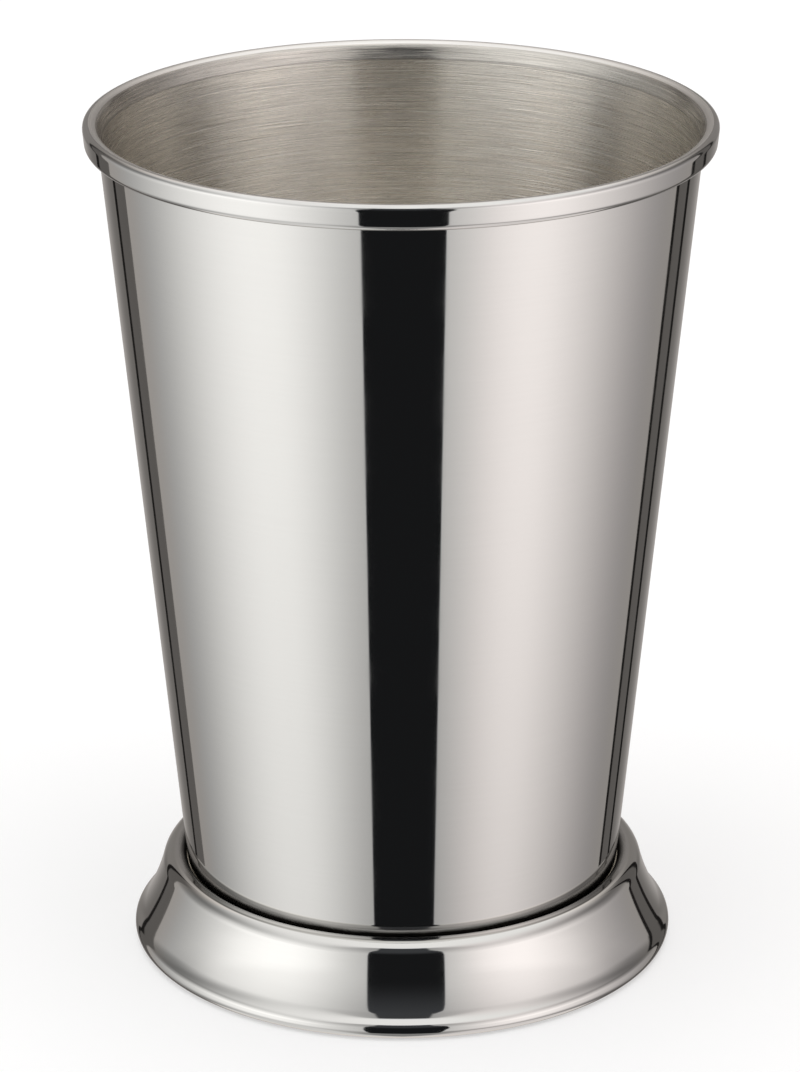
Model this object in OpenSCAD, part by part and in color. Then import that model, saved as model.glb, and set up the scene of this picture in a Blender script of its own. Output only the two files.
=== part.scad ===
// Footed julep cup: a drawn steel cup with a moulding band round its flared lip, brazed into a flared foot ring.
// Every piece is round about the Z axis, so each is the turning of one section of (radius, height).
// The table is at height zero, and the foot ring's flat land stands on it.

/* [Cup body] */
// Height from the table to the top of the lip
cup_height = 111; // [95:1:140]
// Outside diameter of the wall level with the top of the foot ring
wall_foot_diameter = 57; // [52:0.5:60]
// Outside diameter that the wall's slope reaches level with the top of the lip
wall_top_diameter = 76.5; // [70:0.5:84]
// Thickness of the drawn sheet
sheet = 0.6; // [0.5:0.05:1]
// Height of the floor's underside over the table
floor_height = 3.5; // [2:0.25:4]
// Outside radius of the bend between floor and wall
floor_bend = 3.5; // [2:0.25:4]
// Turn of the flared lip outward from the wall's slope
lip_flare = 14; // [10:1:20]
// Outside radius of the bend where the flare starts
lip_bend = 0.5; // [0.4:0.05:0.7]

/* [Rim band] */
// How far the band's outer face stands out from the wall
band_stand = 1.7; // [1.55:0.05:1.85]
// Height of the band from its lower edge to the top of the lip
band_height = 3.3; // [3.1:0.1:5]
// Rounding of the band's lower outside edge
band_edge = 0.9; // [0.5:0.05:1.1]
// Radius of the crown from its top to the band's outer face
crown_outside = 0.75; // [0.65:0.05:0.9]
// How much of the crown's inside radius is left over the lip's cut edge
crown_cover = 0.7; // [0.5:0.05:0.9]

/* [Foot ring] */
// Outside diameter of the foot ring at its widest
foot_diameter = 71; // [66:0.5:80]
// Height of the foot ring's crest over the table
foot_height = 11.6; // [11:0.1:16]
// Thickness of the foot ring's sheet
foot_sheet = 0.65; // [0.5:0.05:0.9]
// Outside radius of the roll down along the wall, and of the corner over the shoulder
roll_radius = 1; // [0.95:0.05:1.2]
// Width of the flat top between roll and corner
ledge_width = 0.5; // [0.3:0.05:0.9]
// Outside radius of the shoulder that carries the corner on into the flank
shoulder_radius = 2.5; // [1.7:0.1:3]
// Slope angle at which the corner passes into the shoulder
shoulder_turn = 58; // [50:1:70]
// Radius of the hollow flank below the shoulder
flank_radius = 29; // [16:1:45]
// Radius of the tighter hollow between flank and bead
hollow_radius = 4.4; // [3:0.1:8]
// Turn of that tighter hollow
hollow_turn = 20; // [10:1:30]
// Outside radius of the bead round the lower edge
bead_radius = 1.3; // [1:0.05:2]
// Width of the flat land that stands on the table
land_width = 1.2; // [0.8:0.1:2]
// Length of the collar that lies along the cup's wall
collar_length = 2.4; // [1.6:0.1:2.5]

/* [Brazed joints] */
// Thickness of the filler between the joined pieces
braze_gap = 0.1; // [0.05:0.05:0.2]
// Height of the fillet under the foot ring's collar
braze_fillet = 0.5; // [0.3:0.05:0.6]
// How far the filler in the rim stays above the band's lower edge
braze_recess = 0.2; // [0.1:0.05:0.3]

/* [Hidden] */
$fn = 180;
// Largest distance between an arc of a section and the chords that stand for it
chord_gap = 0.01;

function dir(a) = [cos(a), sin(a)];

// Points along an arc from angle a to angle b
function arc(centre, radius, a, b) =
    let (steps = ceil(abs(b - a) / (2 * acos(1 - chord_gap / radius))))
    [for (i = [0 : steps]) centre + radius * dir(a + (b - a) * i / steps)];

// The wall's slope, and its directions outward and upward in the section
wall_slope = (wall_top_diameter - wall_foot_diameter) / 2 / (cup_height - foot_height);
taper = atan(wall_slope);
outward = dir(-taper);
upward = dir(90 - taper);
inward_angle = 180 - taper;

// Point at a height, at a square distance from the wall's outer surface
function beside_wall(height, distance) =
    [wall_foot_diameter / 2 + (height - foot_height) * wall_slope + distance / cos(taper), height];

// Bend between floor and wall
floor_c = beside_wall(floor_height + floor_bend, -floor_bend);

// Crown over the lip's cut edge: one arc down to the band's outer face, one into the flare
crown_inside = sheet + crown_cover;
flare_angle = inward_angle - lip_flare;
crown_out_c = beside_wall(cup_height - crown_outside, band_stand - crown_outside);
crown_in_c = [crown_out_c.x, cup_height - crown_inside];
lip_inside = crown_in_c + crown_inside * dir(flare_angle);
lip_outside = lip_inside - sheet * dir(flare_angle);
band_inside = lip_outside - braze_gap * dir(flare_angle);

// Bend where the flare starts, touching both faces of wall and lip
lip_step = sheet + (lip_inside.x - beside_wall(lip_inside.y, 0).x) * cos(taper);
lip_reach = lip_step / tan(lip_flare) + (lip_bend + sheet) * tan(lip_flare / 2);
lip_c = lip_inside + (lip_bend + sheet - lip_step) * outward - lip_reach * upward;

// Lower edge of the band, and the wall behind it level with the crown's outer arc
band_drop = band_height - crown_outside;
band_edge_c = crown_out_c + (crown_outside - band_edge) * outward - (band_drop - band_edge) * upward;
wall_behind_band = crown_out_c - (band_stand - crown_outside) * outward;

// Foot ring: roll, flat top, corner, shoulder, flank, hollow and bead, each touching the next
roll_c = beside_wall(foot_height - roll_radius, braze_gap + roll_radius);
corner_c = roll_c + [ledge_width, 0];
shoulder_c = corner_c - (shoulder_radius - roll_radius) * dir(shoulder_turn);
bead_c = [foot_diameter / 2 - bead_radius, bead_radius];
bead_arm = [flank_radius - hollow_radius, 0] + (hollow_radius + bead_radius) * dir(hollow_turn);
shoulder_reach = shoulder_radius + flank_radius;
run = bead_c - shoulder_c;
run_dir = run / norm(run);
flank_along = (norm(run) + (pow(shoulder_reach, 2) - pow(norm(bead_arm), 2)) / norm(run)) / 2;
flank_away = sqrt(pow(shoulder_reach, 2) - pow(flank_along, 2));
flank_c = shoulder_c + flank_along * run_dir + flank_away * [-run_dir.y, run_dir.x];
flank_top = atan2(flank_c.y - shoulder_c.y, flank_c.x - shoulder_c.x);
flank_low = atan2(flank_c.y - bead_c.y, flank_c.x - bead_c.x) - atan2(bead_arm.y, bead_arm.x);
bead_top = flank_low + hollow_turn;
hollow_c = bead_c + (bead_radius + hollow_radius) * dir(bead_top);
land_inside = bead_c.x - land_width;
collar_wall_side = roll_c - roll_radius * outward;
collar_ring_side = collar_wall_side + foot_sheet * outward;

// Drawn cup: floor, tapered wall and flared lip in one sheet
module cup_body() {
    color("silver") rotate_extrude() polygon(concat(
        [[0, floor_height]],
        arc(floor_c, floor_bend, -90, -taper),
        arc(lip_c, lip_bend, inward_angle, flare_angle),
        [lip_outside, lip_inside],
        arc(lip_c, lip_bend + sheet, flare_angle, inward_angle),
        arc(floor_c, floor_bend - sheet, -taper, -90),
        [[0, floor_height + sheet]]
    ));
}

// Moulding band: a rounded crown over the lip, and an inner face that follows flare and wall
module rim_band() {
    color("gainsboro") rotate_extrude() polygon(concat(
        arc(crown_in_c, crown_inside, flare_angle, 90),
        arc(crown_out_c, crown_outside, 90, -taper),
        arc(band_edge_c, band_edge, -taper, -taper - 90),
        [wall_behind_band + braze_gap * outward - band_drop * upward],
        arc(lip_c, lip_bend - braze_gap, inward_angle, flare_angle),
        [band_inside]
    ));
}

// Filler between the band, the flared lip and the wall
module rim_braze() {
    color("darkgray") rotate_extrude() polygon(concat(
        [lip_outside],
        arc(lip_c, lip_bend, flare_angle, inward_angle),
        [wall_behind_band - (band_drop - braze_recess) * upward],
        [wall_behind_band + braze_gap * outward - (band_drop - braze_recess) * upward],
        arc(lip_c, lip_bend - braze_gap, inward_angle, flare_angle),
        [band_inside]
    ));
}

// Flared foot: collar, roll, flat top, shoulder, hollow flank, bead and turned-in land, all one sheet
module foot_ring() {
    color("lightgray") rotate_extrude() polygon(concat(
        [collar_wall_side - collar_length * upward],
        arc(roll_c, roll_radius, inward_angle, 90),
        arc(corner_c, roll_radius, 90, shoulder_turn),
        arc(shoulder_c, shoulder_radius, shoulder_turn, flank_top),
        arc(flank_c, flank_radius, 180 + flank_top, 180 + flank_low),
        arc(hollow_c, hollow_radius, 180 + flank_low, 180 + bead_top),
        arc(bead_c, bead_radius, bead_top, -90),
        [[land_inside, 0], [land_inside, foot_sheet]],
        arc(bead_c, bead_radius - foot_sheet, -90, bead_top),
        arc(hollow_c, hollow_radius + foot_sheet, 180 + bead_top, 180 + flank_low),
        arc(flank_c, flank_radius + foot_sheet, 180 + flank_low, 180 + flank_top),
        arc(shoulder_c, shoulder_radius - foot_sheet, flank_top, shoulder_turn),
        arc(corner_c, roll_radius - foot_sheet, shoulder_turn, 90),
        arc(roll_c, roll_radius - foot_sheet, 90, inward_angle),
        [collar_ring_side - collar_length * upward]
    ));
}

// Filler between collar and wall, with a fillet under the collar's edge
module foot_braze() {
    wall_side = collar_wall_side - braze_gap * outward;
    color("darkgray") rotate_extrude() polygon([
        wall_side,
        wall_side - (collar_length + braze_fillet) * upward,
        collar_ring_side - collar_length * upward,
        collar_wall_side - collar_length * upward,
        collar_wall_side
    ]);
}

cup_body();
rim_band();
rim_braze();
foot_ring();
foot_braze();
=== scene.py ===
"""Looks of the footed julep cup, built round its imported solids.

The sections are drawn in millimetres, as the solids are, and everything else is in metres. Every angle is in
degrees: azimuths run from the front, positive to the right, and elevations from level, positive upward.
"""

import math
from collections import namedtuple

import bpy
from mathutils import Matrix, Vector


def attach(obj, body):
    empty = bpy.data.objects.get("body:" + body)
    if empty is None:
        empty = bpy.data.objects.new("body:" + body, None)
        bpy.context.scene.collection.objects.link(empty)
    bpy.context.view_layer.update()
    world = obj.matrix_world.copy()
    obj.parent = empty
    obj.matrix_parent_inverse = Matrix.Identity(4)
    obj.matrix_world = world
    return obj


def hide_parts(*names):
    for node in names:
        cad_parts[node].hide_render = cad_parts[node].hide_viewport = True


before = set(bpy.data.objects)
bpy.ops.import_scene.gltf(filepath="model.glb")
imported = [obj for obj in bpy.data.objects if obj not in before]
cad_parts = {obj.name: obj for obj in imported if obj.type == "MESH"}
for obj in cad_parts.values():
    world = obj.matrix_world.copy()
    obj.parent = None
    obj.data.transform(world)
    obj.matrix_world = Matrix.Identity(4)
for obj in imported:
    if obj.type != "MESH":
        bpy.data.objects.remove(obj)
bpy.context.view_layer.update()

# Sizes in millimetres, the same as the solids have
cup_height = 111.0
wall_foot_diameter = 57.0
wall_top_diameter = 76.5
sheet = 0.6
floor_height = 3.5
floor_bend = 3.5
lip_flare = 14.0
lip_bend = 0.5
band_stand = 1.7
band_height = 3.3
band_edge = 0.9
crown_outside = 0.75
crown_cover = 0.7
foot_diameter = 71.0
foot_height = 11.6
foot_sheet = 0.65
roll_radius = 1.0
ledge_width = 0.5
shoulder_radius = 2.5
shoulder_turn = 58.0
flank_radius = 29.0
hollow_radius = 4.4
hollow_turn = 20.0
bead_radius = 1.3
land_width = 1.2
collar_length = 2.4
braze_gap = 0.1
braze_fillet = 0.5
braze_recess = 0.2

MM = 0.001
# Points closer than this many millimetres are one point
SAME = 1e-4
# Steps of the turning, how many millimetres off an arc its chords may lie where seen and where hidden,
# and the fewest chords that an arc has
TURN_STEPS = 192
SEEN = 0.0004
HIDDEN = 0.004
LEAST_ARC_STEPS = 2
# Rows along a straight line, and how near its ends the outer ones lie: millimetres, and at most this share
LINE_ROWS = 6
LINE_END = 0.12
LINE_END_SHARE = 1 / 6
# Faces that meet at a larger angle than this keep a sharp edge
SHARP_ANGLE = 35.0


# Sections

def cosine(angle):
    return math.cos(math.radians(angle))


def sine(angle):
    return math.sin(math.radians(angle))


def tangent(angle):
    return math.tan(math.radians(angle))


def heading(angle):
    return Vector((cosine(angle), sine(angle)))


def angle_of(arrow):
    return math.degrees(math.atan2(arrow.y, arrow.x))


def arc(centre, radius, start, end, off=SEEN):
    """Points along an arc from one angle to another."""
    widest = math.degrees(2 * math.acos(1 - off / radius))
    steps = max(LEAST_ARC_STEPS, math.ceil(abs(end - start) / widest))
    return [centre + radius * heading(start + (end - start) * i / steps) for i in range(steps + 1)]


def line(start, end, rows=LINE_ROWS):
    """Points along a line, close together near both ends so that the normals stay true between them."""
    length = (end - start).length
    near = min(LINE_END, length * LINE_END_SHARE)
    inner = [near + (length - 2 * near) * i / rows for i in range(rows + 1)]
    return [start + (end - start) * (along / length) for along in [0.0, *inner, length]]


# The wall's slope, and its directions outward and upward in the section
wall_slope = (wall_top_diameter - wall_foot_diameter) / 2 / (cup_height - foot_height)
taper = math.degrees(math.atan(wall_slope))
outward = heading(-taper)
upward = heading(90 - taper)
inward_angle = 180 - taper


def beside_wall(height, distance):
    """Point at a height, at a square distance from the wall's outer surface."""
    radius = wall_foot_diameter / 2 + (height - foot_height) * wall_slope + distance / cosine(taper)
    return Vector((radius, height))


# Bend between floor and wall
floor_c = beside_wall(floor_height + floor_bend, -floor_bend)

# Crown over the lip's cut edge
crown_inside = sheet + crown_cover
flare_angle = inward_angle - lip_flare
crown_out_c = beside_wall(cup_height - crown_outside, band_stand - crown_outside)
crown_in_c = Vector((crown_out_c.x, cup_height - crown_inside))
lip_inside = crown_in_c + crown_inside * heading(flare_angle)
lip_outside = lip_inside - sheet * heading(flare_angle)
band_inside = lip_outside - braze_gap * heading(flare_angle)

# Bend where the flare starts
lip_step = sheet + (lip_inside.x - beside_wall(lip_inside.y, 0).x) * cosine(taper)
lip_reach = lip_step / tangent(lip_flare) + (lip_bend + sheet) * tangent(lip_flare / 2)
lip_c = lip_inside + (lip_bend + sheet - lip_step) * outward - lip_reach * upward

# Lower edge of the band, the wall behind it and the lower end of the filler between them
band_drop = band_height - crown_outside
band_edge_c = crown_out_c + (crown_outside - band_edge) * outward - (band_drop - band_edge) * upward
wall_behind_band = crown_out_c - (band_stand - crown_outside) * outward
filler_end = wall_behind_band - (band_drop - braze_recess) * upward

# Foot ring: roll, flat top, corner, shoulder, flank, hollow and bead, each touching the next
roll_c = beside_wall(foot_height - roll_radius, braze_gap + roll_radius)
corner_c = roll_c + Vector((ledge_width, 0))
shoulder_c = corner_c - (shoulder_radius - roll_radius) * heading(shoulder_turn)
bead_c = Vector((foot_diameter / 2 - bead_radius, bead_radius))
bead_arm = Vector((flank_radius - hollow_radius, 0)) + (hollow_radius + bead_radius) * heading(hollow_turn)
shoulder_reach = shoulder_radius + flank_radius
run = bead_c - shoulder_c
run_dir = run.normalized()
flank_along = (run.length + (shoulder_reach ** 2 - bead_arm.length_squared) / run.length) / 2
flank_away = math.sqrt(shoulder_reach ** 2 - flank_along ** 2)
flank_c = shoulder_c + flank_along * run_dir + flank_away * Vector((-run_dir.y, run_dir.x))
flank_top = angle_of(flank_c - shoulder_c)
flank_low = angle_of(flank_c - bead_c) - angle_of(bead_arm)
bead_top = flank_low + hollow_turn
hollow_c = bead_c + (bead_radius + hollow_radius) * heading(bead_top)
land_inside = bead_c.x - land_width
collar_wall_side = roll_c - roll_radius * outward
collar_ring_side = collar_wall_side + foot_sheet * outward


def joined(*stretches):
    """One outline from stretches of points, without the points that two stretches share."""
    points = []
    for stretch in stretches:
        for point in stretch:
            if not points or (point - points[-1]).length > SAME:
                points.append(point)
    if (points[0] - points[-1]).length < SAME:
        points.pop()
    return points


def between(*stretches):
    """Stretches of points with straight lines laid in between them."""
    laid = [stretches[0]]
    for last, following in zip(stretches, stretches[1:]):
        laid += [line(last[-1], following[0]), following]
    return joined(*laid)


def closed(*stretches):
    """The same, with a last line back to the start."""
    return joined(between(*stretches), line(stretches[-1][-1], stretches[0][0]))


cup_outside = between(
    [Vector((0, floor_height))],
    arc(floor_c, floor_bend, -90, -taper),
    arc(lip_c, lip_bend, inward_angle, flare_angle, HIDDEN),
    [lip_outside],
)
cup_inside = between(
    [lip_inside],
    arc(lip_c, lip_bend + sheet, flare_angle, inward_angle),
    arc(floor_c, floor_bend - sheet, -taper, -90),
    [Vector((0, floor_height + sheet))],
)
cup_outline = joined(cup_outside, line(lip_outside, lip_inside, rows=1), cup_inside)
band_outline = closed(
    joined(arc(crown_in_c, crown_inside, flare_angle, 90),
           arc(crown_out_c, crown_outside, 90, -taper)),
    arc(band_edge_c, band_edge, -taper, -taper - 90),
    [wall_behind_band + braze_gap * outward - band_drop * upward],
    arc(lip_c, lip_bend - braze_gap, inward_angle, flare_angle, HIDDEN),
    [band_inside],
)
rim_braze_outline = closed(
    [lip_outside],
    arc(lip_c, lip_bend, flare_angle, inward_angle, HIDDEN),
    [filler_end],
    [filler_end + braze_gap * outward],
    arc(lip_c, lip_bend - braze_gap, inward_angle, flare_angle, HIDDEN),
    [band_inside],
)
foot_outline = closed(
    [collar_wall_side - collar_length * upward],
    arc(roll_c, roll_radius, inward_angle, 90),
    joined(arc(corner_c, roll_radius, 90, shoulder_turn),
           arc(shoulder_c, shoulder_radius, shoulder_turn, flank_top),
           arc(flank_c, flank_radius, 180 + flank_top, 180 + flank_low),
           arc(hollow_c, hollow_radius, 180 + flank_low, 180 + bead_top),
           arc(bead_c, bead_radius, bead_top, -90)),
    [Vector((land_inside, 0))],
    joined([Vector((land_inside, foot_sheet))],
           arc(bead_c, bead_radius - foot_sheet, -90, bead_top, HIDDEN),
           arc(hollow_c, hollow_radius + foot_sheet, 180 + bead_top, 180 + flank_low, HIDDEN),
           arc(flank_c, flank_radius + foot_sheet, 180 + flank_low, 180 + flank_top, HIDDEN),
           arc(shoulder_c, shoulder_radius - foot_sheet, flank_top, shoulder_turn, HIDDEN),
           arc(corner_c, roll_radius - foot_sheet, shoulder_turn, 90, HIDDEN),
           arc(roll_c, roll_radius - foot_sheet, 90, inward_angle, HIDDEN)),
    [collar_ring_side - collar_length * upward],
)
foot_braze_outline = closed(
    [collar_wall_side - braze_gap * outward],
    [collar_wall_side - braze_gap * outward - (collar_length + braze_fillet) * upward],
    [collar_ring_side - collar_length * upward],
    [collar_wall_side - collar_length * upward],
    [collar_wall_side],
)


# Meshes

def placed(name, data):
    """A new object in the scene."""
    made = bpy.data.objects.new(name, data)
    bpy.context.scene.collection.objects.link(made)
    return made


def lathe(name, outline, materials, material_of=None):
    """Turns a closed outline of (radius, height) in millimetres about Z. Points at radius zero become poles.

    Each point of the outline starts a strip of faces, whose material comes from material_of.
    Without that, the whole piece has the first material.
    """
    vertices, faces, face_slots = [], [], []
    rings = []
    for point in outline:
        if point.x < SAME:
            rings.append([len(vertices)] * TURN_STEPS)
            vertices.append((0, 0, point.y * MM))
        else:
            rings.append(list(range(len(vertices), len(vertices) + TURN_STEPS)))
            for i in range(TURN_STEPS):
                turn = 360 * i / TURN_STEPS
                vertices.append((point.x * MM * cosine(turn), point.x * MM * sine(turn), point.y * MM))
    following = outline[1:] + outline[:1]
    clockwise = sum(point.cross(after) for point, after in zip(outline, following)) < 0
    for strip, (low, high) in enumerate(zip(rings, rings[1:] + rings[:1])):
        if low[0] == low[1] and high[0] == high[1]:
            continue
        slot = materials.index(material_of(strip)) if material_of else 0
        for i in range(TURN_STEPS):
            j = (i + 1) % TURN_STEPS
            corners = [low[i], low[j], high[j], high[i]]
            if clockwise:
                corners.reverse()
            faces.append(list(dict.fromkeys(corners)))
            face_slots.append(slot)
    mesh = bpy.data.meshes.new(name)
    mesh.from_pydata(vertices, [], faces)
    for material in materials:
        mesh.materials.append(material)
    mesh.polygons.foreach_set("material_index", face_slots)
    mesh.polygons.foreach_set("use_smooth", [True] * len(faces))
    mesh.set_sharp_from_angle(angle=math.radians(SHARP_ANGLE))
    mesh.update()
    return placed(name, mesh)


# Building blocks of the materials

# Noise drawn out round the cup's axis: changes per metre round it and across it, detail and roughness
Grain = namedtuple("Grain", "along across detail rough")
# Range in which most values of a noise lie
NOISE_RANGE = (0.3, 0.7)


def shader(name, metallic):
    """A new material, its node tree and its Principled node."""
    material = bpy.data.materials.new(name)
    material.use_nodes = True
    principled = material.node_tree.nodes["Principled BSDF"]
    principled.inputs["Metallic"].default_value = metallic
    return material, material.node_tree, principled


def calculate(tree, operation, left, right):
    sum_node = tree.nodes.new("ShaderNodeMath")
    sum_node.operation = operation
    tree.links.new(left, sum_node.inputs[0])
    tree.links.new(right, sum_node.inputs[1])
    return sum_node.outputs[0]


def axis_distance(tree):
    """Distance from the cup's axis, and the separate coordinates that it comes from."""
    where = tree.nodes.new("ShaderNodeTexCoord")
    split = tree.nodes.new("ShaderNodeSeparateXYZ")
    tree.links.new(where.outputs["Object"], split.inputs[0])
    flat = tree.nodes.new("ShaderNodeCombineXYZ")
    tree.links.new(split.outputs["X"], flat.inputs["X"])
    tree.links.new(split.outputs["Y"], flat.inputs["Y"])
    radius = tree.nodes.new("ShaderNodeVectorMath")
    radius.operation = "LENGTH"
    tree.links.new(flat.outputs[0], radius.inputs[0])
    return radius.outputs["Value"], split


def ring_noise(tree, grain):
    """Noise that runs slowly round the cup's axis and fast across it, as the marks of turning do."""
    radius, split = axis_distance(tree)
    place = tree.nodes.new("ShaderNodeCombineXYZ")
    tree.links.new(split.outputs["X"], place.inputs["X"])
    tree.links.new(split.outputs["Y"], place.inputs["Y"])
    tree.links.new(calculate(tree, "ADD", split.outputs["Z"], radius), place.inputs["Z"])
    stretch = tree.nodes.new("ShaderNodeVectorMath")
    stretch.operation = "MULTIPLY"
    stretch.inputs[1].default_value = (grain.along, grain.along, grain.across)
    tree.links.new(place.outputs[0], stretch.inputs[0])
    texture = tree.nodes.new("ShaderNodeTexNoise")
    texture.inputs["Scale"].default_value = 1.0
    texture.inputs["Detail"].default_value = grain.detail
    texture.inputs["Roughness"].default_value = grain.rough
    tree.links.new(stretch.outputs[0], texture.inputs["Vector"])
    return texture.outputs["Fac"]


def span(tree, value, limits, results):
    """Value that runs from one result to the other as the given one runs between two limits."""
    scale = tree.nodes.new("ShaderNodeMapRange")
    tree.links.new(value, scale.inputs["Value"])
    scale.inputs["From Min"].default_value, scale.inputs["From Max"].default_value = limits
    scale.inputs["To Min"].default_value, scale.inputs["To Max"].default_value = results
    return scale.outputs["Result"]


def ramp(tree, value, limits, colours):
    """Colour that runs from one to the other as the value runs between two limits."""
    blend = tree.nodes.new("ShaderNodeValToRGB")
    for element, limit, colour in zip(blend.color_ramp.elements, limits, colours):
        element.position = limit
        element.color = (*colour, 1)
    tree.links.new(value, blend.inputs[0])
    return blend.outputs["Color"]


def bump(tree, height, depth):
    relief = tree.nodes.new("ShaderNodeBump")
    relief.inputs["Strength"].default_value = 1.0
    relief.inputs["Distance"].default_value = depth
    tree.links.new(height, relief.inputs["Height"])
    return relief.outputs["Normal"]


def finished(tree, principled, colour, roughness, normal=None):
    """Wires a surface's colour, roughness and relief."""
    tree.links.new(colour, principled.inputs["Base Color"])
    tree.links.new(roughness, principled.inputs["Roughness"])
    if normal is not None:
        tree.links.new(normal, principled.inputs["Normal"])


# Polished steel
POLISH_LINES = Grain(along=70, across=2600, detail=3, rough=0.6)
POLISH_HAZE = Grain(along=45, across=160, detail=2, rough=0.5)
# Shares of the tone in the wheel's lines and between them, and where their noise turns from one to the other
POLISH_SHARES = (0.993, 1.003)
POLISH_TURN = (0.3, 0.65)
POLISH_ROUGH = (0.035, 0.06)
POLISH_DEPTH = 0.00000015


def polished_steel(name, tone):
    """Near-mirror steel with the faint lines that a polishing wheel leaves round it."""
    material, tree, principled = shader(name, metallic=1.0)
    lines = ring_noise(tree, POLISH_LINES)
    haze = ring_noise(tree, POLISH_HAZE)
    colours = [[part * share for part in tone] for share in POLISH_SHARES]
    finished(tree, principled, ramp(tree, lines, POLISH_TURN, colours),
             span(tree, haze, NOISE_RANGE, POLISH_ROUGH), bump(tree, lines, POLISH_DEPTH))
    return material


# Brushed steel
BRUSH_FINE = Grain(along=130, across=9500, detail=1, rough=0.5)
BRUSH_MIDDLE = Grain(along=90, across=6500, detail=1, rough=0.5)
BRUSH_SCRATCH = Grain(along=90, across=8000, detail=0, rough=0.5)
# Shares of the fine and the middle streaks and of the scratches, and the noise values that draw them
FINE_SHARE, MIDDLE_SHARE, SCRATCH_SHARE = 0.6, 0.4, 0.7
STREAK_RANGE = (0.34, 0.66)
DEEP_SCRATCH = (0.68, 0.76)
BRIGHT_SCRATCH = (0.30, 0.22)
# Where the streaks turn from the deep colour to the tone
STREAK_TURN = (0.1, 0.9)
# Quarter turn, which blurs reflections across the streaks
BLUR_TURN = 0.25


def brushed_steel(name, tone, deep, rough, depth, drawn_out):
    """Satin steel brushed round the axis: fine streaks with some deeper or brighter scratches."""
    material, tree, principled = shader(name, metallic=1.0)
    fine = ring_noise(tree, BRUSH_FINE)
    middle = ring_noise(tree, BRUSH_MIDDLE)
    scratch = ring_noise(tree, BRUSH_SCRATCH)
    streaks = calculate(tree, "ADD", span(tree, fine, STREAK_RANGE, (0.0, FINE_SHARE)),
                        span(tree, middle, STREAK_RANGE, (0.0, MIDDLE_SHARE)))
    streaks = calculate(tree, "SUBTRACT", streaks, span(tree, scratch, DEEP_SCRATCH, (0.0, SCRATCH_SHARE)))
    streaks = calculate(tree, "ADD", streaks, span(tree, scratch, BRIGHT_SCRATCH, (0.0, SCRATCH_SHARE)))
    finished(tree, principled, ramp(tree, streaks, STREAK_TURN, (deep, tone)),
             span(tree, middle, NOISE_RANGE, rough[::-1]), bump(tree, streaks, depth))
    tangent_node = tree.nodes.new("ShaderNodeTangent")
    tangent_node.direction_type = "RADIAL"
    tangent_node.axis = "Z"
    tree.links.new(tangent_node.outputs[0], principled.inputs["Tangent"])
    principled.inputs["Anisotropic"].default_value = drawn_out
    principled.inputs["Anisotropic Rotation"].default_value = BLUR_TURN
    return material


# Polished steel with painted shade in the crevice between foot and wall
SHADE_PATCH = Grain(along=300, across=1500, detail=3, rough=0.6)
# Radii in millimetres at which the painted shade starts to clear, has cleared, and gives way to the plain
# trim
SHADE_FULL, SHADE_GONE, SHADE_END = 28.9, 29.75, 30.05
# How far its edge wavers, and the roughness where the shade is painted and where it is clear
SHADE_WAVER = 0.00006
SHADE_ROUGH = (0.4, 0.08)


def shaded_roll(name, tone, painted_shade):
    """Polished steel that darkens towards the wall, as painted shade in the crevice."""
    material, tree, principled = shader(name, metallic=1.0)
    radius, _ = axis_distance(tree)
    waver = span(tree, ring_noise(tree, SHADE_PATCH), NOISE_RANGE, (-SHADE_WAVER, SHADE_WAVER))
    uneven = calculate(tree, "ADD", radius, waver)
    clear = span(tree, uneven, (SHADE_FULL * MM, SHADE_GONE * MM), (0.0, 1.0))
    finished(tree, principled, ramp(tree, clear, (0.0, 1.0), (painted_shade, tone)),
             span(tree, clear, (0.0, 1.0), SHADE_ROUGH))
    return material


# Brazing filler
FILLER_FLOW = Grain(along=260, across=900, detail=4, rough=0.6)
FILLER_TURN = (0.35, 0.6)
FILLER_ROUGH = (0.5, 0.32)
FILLER_DEPTH = 0.00004


def flowed_filler(name, tone, deep):
    """Brazing filler: satin, a little wavy and darker where flux has stained it."""
    material, tree, principled = shader(name, metallic=1.0)
    flow = ring_noise(tree, FILLER_FLOW)
    finished(tree, principled, ramp(tree, flow, FILLER_TURN, (deep, tone)),
             span(tree, flow, NOISE_RANGE, FILLER_ROUGH), bump(tree, flow, FILLER_DEPTH))
    return material


# Materials of the cup
INSIDE_ROUGH = (0.17, 0.32)
wall_polish = polished_steel("wall_polish", tone=(0.63, 0.62, 0.597))
trim_polish = polished_steel("trim_polish", tone=(0.64, 0.63, 0.607))
inside_brush = brushed_steel("inside_brush", tone=(0.925, 0.889, 0.823), deep=(0.73, 0.70, 0.65),
                             rough=INSIDE_ROUGH, depth=0.000011, drawn_out=1.0)
# Painted shade: the flare inside the lip and on the band is the inside's brushed steel toned darker
shaded_flare_brush = brushed_steel("shaded_flare_brush", tone=(0.71, 0.679, 0.624), deep=(0.55, 0.525, 0.485),
                            rough=INSIDE_ROUGH, depth=0.000011, drawn_out=1.0)
# Painted shade: a dark line along the bend where the flare starts, the inside's brushed steel toned darker
# still
shaded_bend_line = brushed_steel("shaded_bend_line", tone=(0.58, 0.555, 0.515), deep=(0.44, 0.42, 0.39),
                          rough=INSIDE_ROUGH, depth=0.000009, drawn_out=1.0)
lip_satin = brushed_steel("lip_satin", tone=(0.84, 0.82, 0.785), deep=(0.76, 0.74, 0.71),
                          rough=(0.30, 0.36), depth=0.000001, drawn_out=0.3)
crown_satin = brushed_steel("crown_satin", tone=(0.69, 0.68, 0.66), deep=(0.63, 0.62, 0.60),
                            rough=(0.07, 0.11), depth=0.0000005, drawn_out=0.3)
under_brush = brushed_steel("under_brush", tone=(0.62, 0.61, 0.59), deep=(0.46, 0.45, 0.43),
                            rough=(0.21, 0.27), depth=0.000004, drawn_out=1.0)
filler = flowed_filler("filler", tone=(0.66, 0.62, 0.52), deep=(0.36, 0.33, 0.28))
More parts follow.
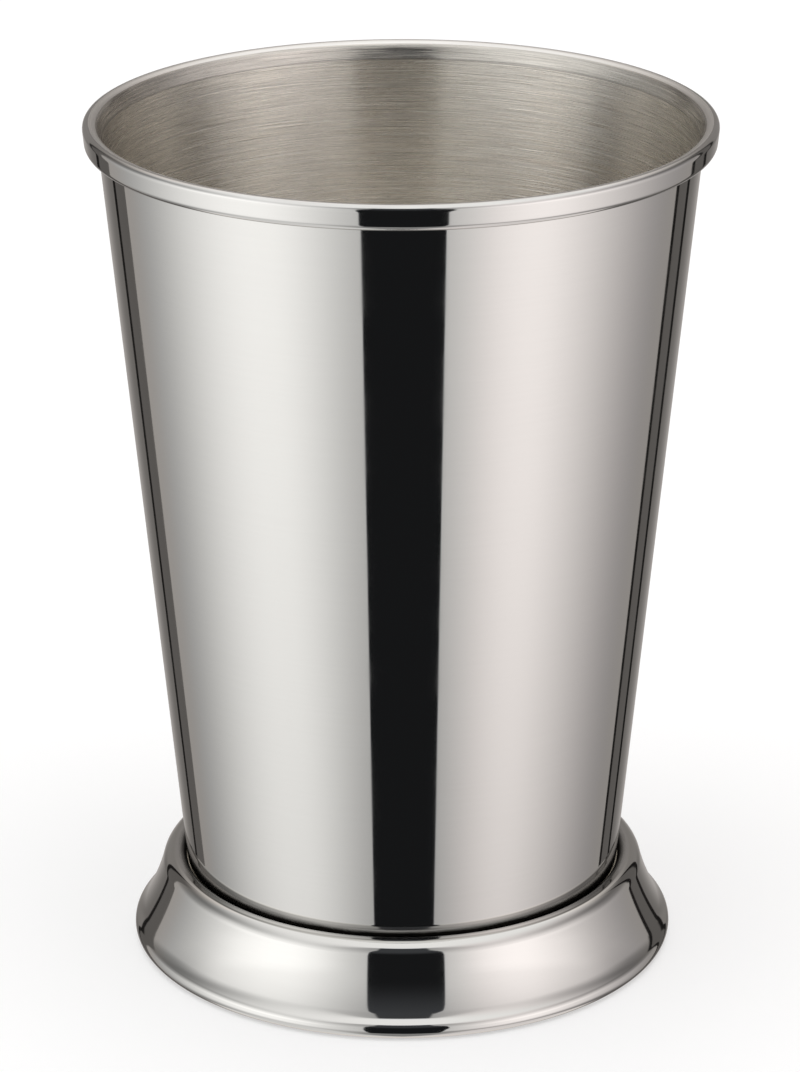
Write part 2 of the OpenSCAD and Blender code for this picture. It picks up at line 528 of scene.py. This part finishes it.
# crevice_roll: near-black painted shade on the foot's roll next to the wall
crevice_roll = shaded_roll("crevice_roll", tone=(0.64, 0.63, 0.615), painted_shade=(0.012, 0.011, 0.010))

# Where the materials of a piece change along its outline

# The wall's polish starts this share up the bend from the floor
POLISH_START_SHARE = 0.5
# The crown is satin from this angle up its inside arc to this angle down its outside arc
SATIN_INSIDE, SATIN_OUTSIDE = 45.0, 15.0


def first(outline, test, after=-1):
    """Index of the first point past another that meets a test."""
    return next(i for i, point in enumerate(outline) if i > after and test(point))


polish_height = floor_height + floor_bend * POLISH_START_SHARE
wall_start = first(cup_outline, lambda point: point.y > polish_height)
inside_start = first(cup_outline, lambda point: (point - lip_inside).length < SAME)
bend_points = [i for i, point in enumerate(cup_outline)
               if i > inside_start and abs((point - lip_c).length - lip_bend - sheet) < SAME]

satin_height = crown_in_c.y + crown_inside * sine(SATIN_INSIDE)
satin_radius = crown_out_c.x + crown_outside * cosine(SATIN_OUTSIDE)
satin_start = first(band_outline, lambda point: point.y > satin_height)
crown_top = first(band_outline, lambda point: point.y > cup_height - SAME)
satin_end = first(band_outline, lambda point: point.x > satin_radius)

corner_start = first(foot_outline, lambda point: (point - corner_c).length < roll_radius + SAME)
clear_start = first(foot_outline, lambda point: point.x > SHADE_END, corner_start)
land_start = first(foot_outline, lambda point: point.y < SAME, corner_start)


def cup_material(strip):
    if strip < wall_start:
        return under_brush
    if strip < inside_start:
        return wall_polish
    if strip < bend_points[0]:
        return shaded_flare_brush
    return shaded_bend_line if strip < bend_points[-1] else inside_brush


def band_material(strip):
    if strip < satin_start:
        return shaded_flare_brush
    if strip < crown_top:
        return lip_satin
    return crown_satin if strip < satin_end else trim_polish


def foot_material(strip):
    # The roll carries the painted crevice shade out to where that shade ends
    if strip < clear_start:
        return crevice_roll
    return under_brush if strip > land_start else trim_polish


# Pieces, each in place of its solid
cup_body = lathe("cup_body_piece", cup_outline,
                 [wall_polish, inside_brush, under_brush, shaded_flare_brush, shaded_bend_line], cup_material)
rim_band = lathe("rim_band_piece", band_outline,
                 [trim_polish, lip_satin, crown_satin, shaded_flare_brush], band_material)
rim_braze = lathe("rim_braze_piece", rim_braze_outline, [filler])
foot_ring = lathe("foot_ring_piece", foot_outline,
                  [trim_polish, under_brush, crevice_roll], foot_material)
foot_braze = lathe("foot_braze_piece", foot_braze_outline, [filler])

for piece, node, slot in (
    (cup_body, "cup_body", "cup_steel"),
    (rim_band, "rim_band", "polished_steel"),
    (rim_braze, "rim_braze", "braze"),
    (foot_ring, "foot_ring", "polished_steel"),
    (foot_braze, "foot_braze", "braze"),
):
    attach(piece, "root")
    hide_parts(node)


# Light: a round tent of white cloth with a dark gap in front, where the camera looks in

# Half the width of a sharp edge between two levels
EDGE = 0.2
# The two panels beside the camera: levels at the front, at the brightest and at the far end, the azimuths
# over which they brighten and fade, and the slope and bend of their level by elevation
Panel = namedtuple("Panel", "front full far brighten fade slope bend")
LEFT_PANEL = Panel(0.586, 1.24, 0.37, (5.2, 54.4), (58.3, 132.4), 0.024, 0.0007)
RIGHT_PANEL = Panel(0.484, 1.304, 0.332, (-5.0, 65.0), (35.0, 129.2), 0.030, 0.0018)
# Elevations between which slope and bend act, and the one at which the levels are as written
PANEL_FOOT, PANEL_TOP, PANEL_MIDDLE = -40.0, -22.0, -30.0
# In the names below, TURN is the azimuth and RISE the elevation over which one thing passes into the next
# Shares of the panels' level high up, in front and at the sides
UPPER_FRONT, UPPER_SIDE = 0.66, 0.40
UPPER_TURN, UPPER_RISE = (55, 95), (10, 40)
# Share of it from the sides to the back, above the horizon
FAR_SIDE = 0.62
FAR_TURN, FAR_RISE = (85, 115), (2, 16)
# Share of it in a brighter patch near the horizon, from beside the gap to the sides, with its start and end
LOW_FRONT = 1.12
LOW_FRONT_TURN, LOW_FRONT_RISE = (18, 40), (-6, 1)
LOW_FRONT_END_TURN, LOW_FRONT_END_RISE = (105, 75), (13, 8)
# Back of the tent, and the dark seams and the strip between it and the panels, which lean with elevation
BACK_NEAR, BACK_FAR, BACK_UPPER = 0.18, 0.40, 0.25
BACK_TURN, BACK_RISE = (147, 172), (-12, 2)
DARK = 0.0125
STRIP = 0.13
LEFT_SEAMS = (133.1, 143.1, 146.1)
RIGHT_SEAMS = (132.2, 135.0, 144.0, 147.2)
SEAM_LEAN = 2.5
SEAM_RISE = (-30, 20)
# Dark gap: its two sides low down, the right one higher up, both at the top, its foot and its level high up
GAP_LEFT, GAP_RIGHT = -15.5, 17.5
GAP_RIGHT_HIGH = 18.9
GAP_RIGHT_RISE = (-15, 5)
GAP_LEFT_TOP, GAP_RIGHT_TOP = -12.5, 14.0
GAP_TOP_RISE = (25, 42)
GAP_FOOT, GAP_FOOT_EDGE = -46.0, 1.0
GAP_HIGH = 0.062
GAP_HIGH_RISE = (14, 33)
# Ceiling and table, and the azimuths over which front passes into side and side into back
CEILING = 1.17
CEILING_FRONT_RISE, CEILING_SIDE_RISE, CEILING_BACK_RISE = (50, 54), (25, 63), (22, 58)
TABLE_FRONT, TABLE_SIDE = 0.30, 0.90
TABLE_RISE = (-46, -54)
SIDE_TURN, REAR_TURN = (14, 45), (105, 140)
# Faint tints, as red and blue beside green
PLAIN_TINT, RIGHT_TINT, BACK_TINT, GAP_TINT = (1.0, 1.0), (1.05, 1.0), (1.06, 0.96), (0.95, 1.1)
RIGHT_TINT_TURN, BACK_TINT_TURN = (10, 40), (115, 135)
PLAIN_TINT_RISE = (40, 60)


def mix(start, end, share):
    return start + (end - start) * share


def smooth(value, limits):
    """Share that rises smoothly from 0 to 1 as a value passes from the first limit to the second."""
    low, high = limits
    share = min(1.0, max(0.0, (value - low) / (high - low)))
    return share * share * (3 - 2 * share)


def past(value, edge, half=EDGE):
    """Share that rises from 0 to 1 as a value passes an edge."""
    return smooth(value, (edge - half, edge + half))


def side_level(azimuth, elevation):
    """Level of the tent's wall in a direction, without gap and ceiling."""
    turn = abs(azimuth)
    panel = LEFT_PANEL if azimuth < 0 else RIGHT_PANEL
    level = mix(panel.front, panel.full, smooth(turn, panel.brighten))
    level = mix(level, panel.far, smooth(turn, panel.fade))
    above = min(PANEL_TOP, max(PANEL_FOOT, elevation)) - PANEL_MIDDLE
    level *= 1 + panel.slope * above - panel.bend * above * above
    upper = mix(UPPER_FRONT, UPPER_SIDE, smooth(turn, UPPER_TURN))
    level *= mix(1.0, upper, smooth(elevation, UPPER_RISE))
    level *= mix(1.0, FAR_SIDE, smooth(turn, FAR_TURN) * smooth(elevation, FAR_RISE))
    patch = smooth(turn, LOW_FRONT_TURN) * smooth(turn, LOW_FRONT_END_TURN)
    patch *= smooth(elevation, LOW_FRONT_RISE) * smooth(elevation, LOW_FRONT_END_RISE)
    level *= mix(1.0, LOW_FRONT, patch)
    back = mix(BACK_NEAR, BACK_FAR, smooth(turn, BACK_TURN))
    back = mix(back, BACK_UPPER, smooth(elevation, BACK_RISE))
    if azimuth < 0:
        seams = zip(LEFT_SEAMS, (STRIP, DARK, back))
    else:
        seams = zip(RIGHT_SEAMS, (DARK, STRIP, DARK, back))
    lean = SEAM_LEAN * smooth(elevation, SEAM_RISE)
    for edge, after in seams:
        level = mix(level, after, past(turn, edge - lean))
    return level


def glow(azimuth, elevation):
    """Red, green and blue of the tent in a direction."""
    turn = abs(azimuth)
    beside = smooth(turn, SIDE_TURN)
    behind = smooth(turn, REAR_TURN)
    top = smooth(elevation, GAP_TOP_RISE)
    left = mix(GAP_LEFT, GAP_LEFT_TOP, top)
    right = mix(GAP_RIGHT, GAP_RIGHT_HIGH, smooth(elevation, GAP_RIGHT_RISE))
    right = mix(right, GAP_RIGHT_TOP, top)
    gap = past(azimuth, left) * past(-azimuth, -right) * past(elevation, GAP_FOOT, GAP_FOOT_EDGE)
    gap_level = mix(DARK, GAP_HIGH, smooth(elevation, GAP_HIGH_RISE))
    level = mix(side_level(azimuth, elevation), gap_level, gap)
    ceiling_rise = [mix(mix(front, side, beside), back, behind)
                    for front, side, back in zip(CEILING_FRONT_RISE, CEILING_SIDE_RISE, CEILING_BACK_RISE)]
    level = mix(level, CEILING, smooth(elevation, ceiling_rise))
    level = mix(level, mix(TABLE_FRONT, TABLE_SIDE, beside), smooth(elevation, TABLE_RISE))
    tint = []
    for plain, on_right, on_back, in_gap in zip(PLAIN_TINT, RIGHT_TINT, BACK_TINT, GAP_TINT):
        part = mix(plain, on_right, smooth(azimuth, RIGHT_TINT_TURN))
        part = mix(part, on_back, smooth(turn, BACK_TINT_TURN))
        part = mix(part, in_gap, gap)
        tint.append(mix(part, plain, smooth(elevation, PLAIN_TINT_RISE)))
    red, blue = tint
    return level * red, level, level * blue, 1.0


# Digits after the point by which two directions are told apart
DIGITS = 4


def spread(edges, end, coarse, fine, steps):
    """Values from minus end to end, a coarse step apart, with some fine steps to either side of each edge."""
    values = {round(-end + coarse * i, DIGITS) for i in range(int(2 * end / coarse) + 1)}
    for edge in edges:
        values |= {round(edge + fine * i, DIGITS) for i in range(-steps, steps + 1)}
    return sorted(value for value in values if -end <= value <= end)


# The tent's mesh, finer where one level meets another
TENT_RADIUS = 3.0
tent_sides = [GAP_LEFT, GAP_RIGHT, GAP_RIGHT_HIGH, *(-seam for seam in LEFT_SEAMS), *RIGHT_SEAMS]
# Elevations that want finer rows, beside the gap's foot and the ceiling's edge in front
TABLE_EDGE, HORIZON, GAP_NARROWS = -52.0, 0.0, 28.0
tent_levels = [GAP_FOOT, TABLE_EDGE, HORIZON, GAP_NARROWS, sum(CEILING_FRONT_RISE) / 2]
# The last azimuth is the first one again
azimuths = spread(tent_sides, end=180, coarse=1.5, fine=0.125, steps=12)[:-1]
elevations = spread(tent_levels, end=90, coarse=2, fine=0.5, steps=6)
wide = len(azimuths)
tent_vertices, tent_glow, tent_faces = [], [], []
for elevation in elevations:
    for azimuth in azimuths:
        level_radius = TENT_RADIUS * cosine(elevation)
        tent_vertices.append((level_radius * sine(azimuth), -level_radius * cosine(azimuth),
                              TENT_RADIUS * sine(elevation)))
        tent_glow.extend(glow(azimuth, elevation))
for row in range(len(elevations) - 1):
    for i in range(wide):
        j = (i + 1) % wide
        tent_faces.append((row * wide + i, row * wide + j, (row + 1) * wide + j, (row + 1) * wide + i))
tent_mesh = bpy.data.meshes.new("light_tent")
tent_mesh.from_pydata(tent_vertices, [], tent_faces)
glow_layer = tent_mesh.attributes.new("glow", "FLOAT_COLOR", "POINT")
glow_layer.data.foreach_set("color", tent_glow)
tent = placed("light_tent", tent_mesh)
tent_cloth = bpy.data.materials.new("tent_cloth")
tent_cloth.use_nodes = True
tent_nodes, tent_links = tent_cloth.node_tree.nodes, tent_cloth.node_tree.links
tent_nodes.clear()
tent_out = tent_nodes.new("ShaderNodeOutputMaterial")
tent_light = tent_nodes.new("ShaderNodeEmission")
tent_read = tent_nodes.new("ShaderNodeAttribute")
tent_read.attribute_name = "glow"
tent_links.new(tent_read.outputs["Color"], tent_light.inputs["Color"])
tent_links.new(tent_light.outputs[0], tent_out.inputs["Surface"])
tent_mesh.materials.append(tent_cloth)
tent.visible_camera = False
tent.visible_shadow = False

# Pale floor, which takes the cup's shadow
FLOOR_HALF = 2.4
FLOOR_COLOUR = (0.96, 0.96, 0.96, 1)
FLOOR_ROUGH = 0.9
# Share of plain white paper, without shadow, in the floor as the camera sees it
PAPER_SHARE = 0.4
floor_corners = [(across * FLOOR_HALF, along * FLOOR_HALF, 0)
                 for across, along in ((-1, -1), (1, -1), (1, 1), (-1, 1))]
floor_mesh = bpy.data.meshes.new("pale_floor")
floor_mesh.from_pydata(floor_corners, [], [(0, 1, 2, 3)])
pale_floor = placed("pale_floor", floor_mesh)
floor_card, floor_tree, floor_shader = shader("floor_card", metallic=0.0)
floor_shader.inputs["Base Color"].default_value = FLOOR_COLOUR
floor_shader.inputs["Roughness"].default_value = FLOOR_ROUGH
floor_shader.inputs["Specular IOR Level"].default_value = 0.0
floor_paper = floor_tree.nodes.new("ShaderNodeEmission")
floor_seen = floor_tree.nodes.new("ShaderNodeLightPath")
floor_share = span(floor_tree, floor_seen.outputs["Is Camera Ray"], (0.0, 1.0), (0.0, PAPER_SHARE))
floor_mix = floor_tree.nodes.new("ShaderNodeMixShader")
floor_tree.links.new(floor_share, floor_mix.inputs["Fac"])
floor_tree.links.new(floor_shader.outputs["BSDF"], floor_mix.inputs[1])
floor_tree.links.new(floor_paper.outputs["Emission"], floor_mix.inputs[2])
floor_tree.links.new(floor_mix.outputs["Shader"], floor_tree.nodes["Material Output"].inputs["Surface"])
floor_mesh.materials.append(floor_card)
pale_floor.visible_glossy = False

# Soft lamp over the floor, which the steel doesn't reflect
LAMP_HEIGHT = 2.4
LAMP_DIAMETER = 2.4
LAMP_WATTS = 22.0
lamp_data = bpy.data.lights.new("top_lamp", "AREA")
lamp_data.shape = "DISK"
lamp_data.size = LAMP_DIAMETER
lamp_data.energy = LAMP_WATTS
top_lamp = placed("top_lamp", lamp_data)
top_lamp.location = (0, 0, LAMP_HEIGHT)
top_lamp.visible_glossy = False

# White surroundings
world = bpy.data.worlds.new("white")
world.use_nodes = True
world.node_tree.nodes["Background"].inputs["Color"].default_value = (1, 1, 1, 1)
world.node_tree.nodes["Background"].inputs["Strength"].default_value = 1.0
bpy.context.scene.world = world
bpy.context.scene.view_settings.view_transform = "Standard"

# Camera, at the place that the photograph's lip, wall and foot give, with sensor and lens in millimetres
CAMERA_SENSOR = 36.0
CAMERA_LENS = 155.0
CAMERA_PLACE = (-0.0002, -0.560, 0.26318)
CAMERA_DOWN = 20.394
CAMERA_ROLL = -0.093
camera_data = bpy.data.cameras.new("camera")
camera_data.sensor_width = CAMERA_SENSOR
camera_data.lens = CAMERA_LENS
camera = placed("camera", camera_data)
camera.location = CAMERA_PLACE
camera.rotation_euler = (Matrix.Rotation(math.radians(90 - CAMERA_DOWN), 3, "X")
                         @ Matrix.Rotation(math.radians(CAMERA_ROLL), 3, "Z")).to_euler()
bpy.context.scene.camera = camera
